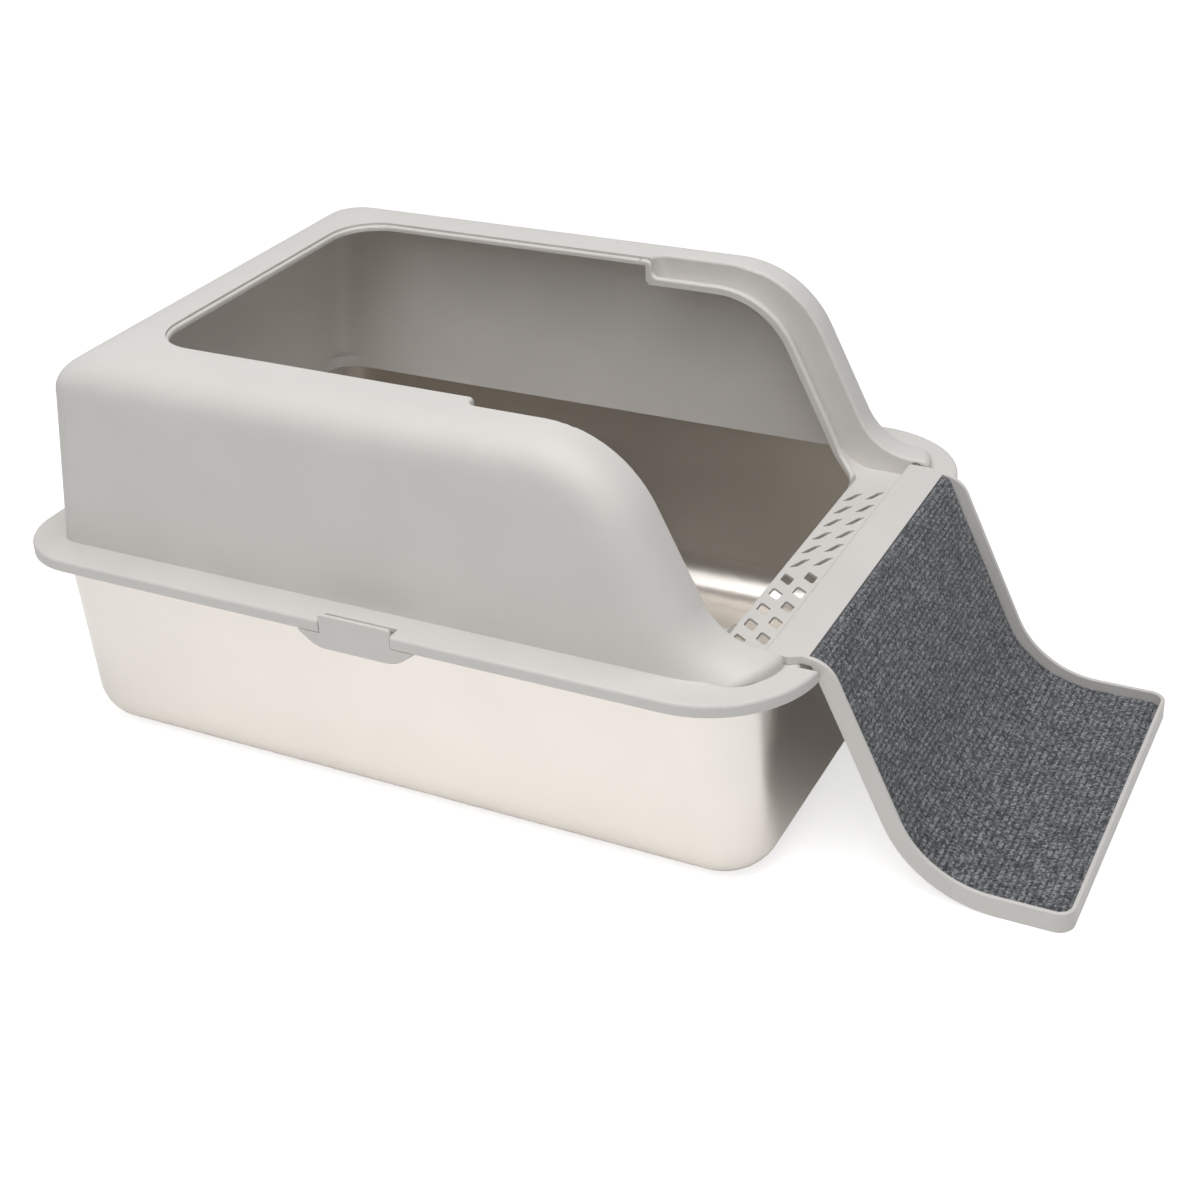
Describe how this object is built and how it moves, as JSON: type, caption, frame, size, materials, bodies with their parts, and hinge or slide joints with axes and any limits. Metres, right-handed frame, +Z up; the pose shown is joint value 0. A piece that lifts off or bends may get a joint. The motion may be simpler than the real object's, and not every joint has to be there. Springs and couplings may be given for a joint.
{
  "type": "litter tray",
  "caption": "Open-top litter tray: pressed steel pan, clip-on plastic hood with scooped entry and perforated sill, side latches, and a folding ramp with a carpet mat.",
  "frame": {"origin": "centre of the pan's flat base, on the floor", "axes": "+X towards the ramp, +Y to the far side, +Z up"},
  "size_m": [0.7774, 0.431, 0.3055],
  "materials": {
    "satin_steel": "satin",
    "grey_plastic": "fine satin moulding",
    "carpet": "fine loop pile"
  },
  "bodies": {
    "pan": {"steel_pan": "satin_steel"},
    "hood": {"enclosure": "grey_plastic"},
    "latch_near": {"side_latch_near": "grey_plastic"},
    "latch_far": {"side_latch_far": "grey_plastic"},
    "ramp": {"ramp": "grey_plastic", "ramp_mat": "carpet"}
  },
  "joints": [
    {"name": "hood_lift", "type": "slide", "parent": "pan", "child": "hood", "axis": [0, 0, 1], "range_m": [0, 0.25]},
    {"name": "latch_near_hinge", "type": "hinge", "parent": "hood", "child": "latch_near", "pos_m": [0, -0.2134, 0.1582], "axis": [-1, 0, 0], "range_deg": [0, 90]},
    {"name": "latch_far_hinge", "type": "hinge", "parent": "hood", "child": "latch_far", "pos_m": [0, 0.2134, 0.1582], "axis": [1, 0, 0], "range_deg": [0, 90]},
    {"name": "ramp_hinge", "type": "hinge", "parent": "hood", "child": "ramp", "pos_m": [0.271, 0, 0.16315], "axis": [0, -1, 0], "range_deg": [0, 100]}
  ]
}
